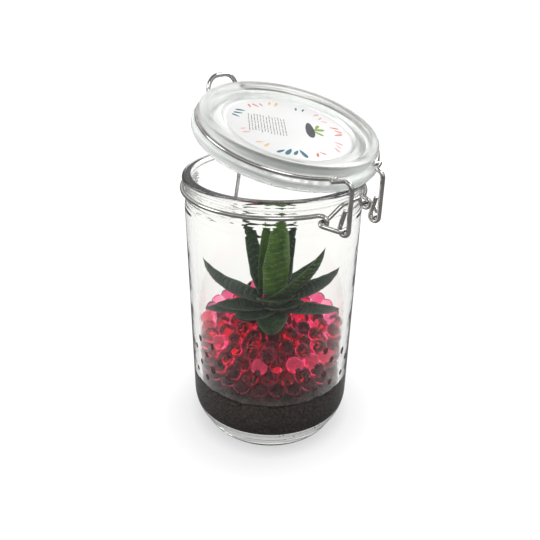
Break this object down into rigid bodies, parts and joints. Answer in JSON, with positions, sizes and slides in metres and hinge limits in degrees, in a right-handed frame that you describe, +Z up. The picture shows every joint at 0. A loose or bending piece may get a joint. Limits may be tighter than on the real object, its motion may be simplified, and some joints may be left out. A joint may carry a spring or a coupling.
{
  "type": "hydroponic jar planter",
  "caption": "Swing-top glass jar planter with soil, clear water beads and a striped succulent, lid ajar on its wire hinge.",
  "frame": {"origin": "centre of the jar's foot, on the jar's axis", "axes": "+Z up along the jar; +X towards the lid's hinge, -X towards the closing bail"},
  "size_m": [0.1189, 0.1068, 0.2151],
  "materials": {
    "jar_glass": "clear pressed glass",
    "lid_glass": "clear pressed glass",
    "bright_wire": "bright drawn wire",
    "seal_rubber": "translucent silicone",
    "label_film": "smooth printed film",
    "potting_soil": "damp fine soil",
    "water_bead": "clear red gel",
    "root_ball": "fibrous",
    "leaf_skin": "waxy leaf with raised pale bands"
  },
  "bodies": {
    "jar": {"bead_bed": "water_bead", "glass_jar": "jar_glass", "leaf_01": "leaf_skin", "leaf_02": "leaf_skin", "leaf_03": "leaf_skin", "leaf_04": "leaf_skin", "leaf_05": "leaf_skin", "leaf_06": "leaf_skin", "leaf_07": "leaf_skin", "leaf_08": "leaf_skin", "leaf_09": "leaf_skin", "leaf_10": "leaf_skin", "leaf_11": "leaf_skin", "leaf_12": "leaf_skin", "leaf_13": "leaf_skin", "leaf_14": "leaf_skin", "leaf_15": "leaf_skin", "leaf_16": "leaf_skin", "leaf_17": "leaf_skin", "neck_wire_back": "bright_wire", "neck_wire_front": "bright_wire", "plant_crown": "root_ball", "soil": "potting_soil", "water_beads": "water_bead"},
    "hinge_link": {"hinge_link": "bright_wire"},
    "lid": {"glass_lid": "lid_glass", "lid_gasket": "seal_rubber", "lid_label": "label_film", "lid_wire": "bright_wire"},
    "closing_bail": {"closing_bail": "bright_wire"}
  },
  "joints": [
    {"name": "link_swing", "type": "hinge", "parent": "jar", "child": "hinge_link", "pos_m": [0.05057, 0, 0.15545], "axis": [0, 1, 0], "range_deg": [0, 14]},
    {"name": "lid_swing", "type": "hinge", "parent": "hinge_link", "child": "lid", "pos_m": [0.06035, 0, 0.15189], "axis": [0, 1, 0], "range_deg": [-16, 180]},
    {"name": "bail_swing", "type": "hinge", "parent": "jar", "child": "closing_bail", "pos_m": [-0.05057, 0, 0.15545], "axis": [0, 1, 0], "range_deg": [0, 160]}
  ]
}
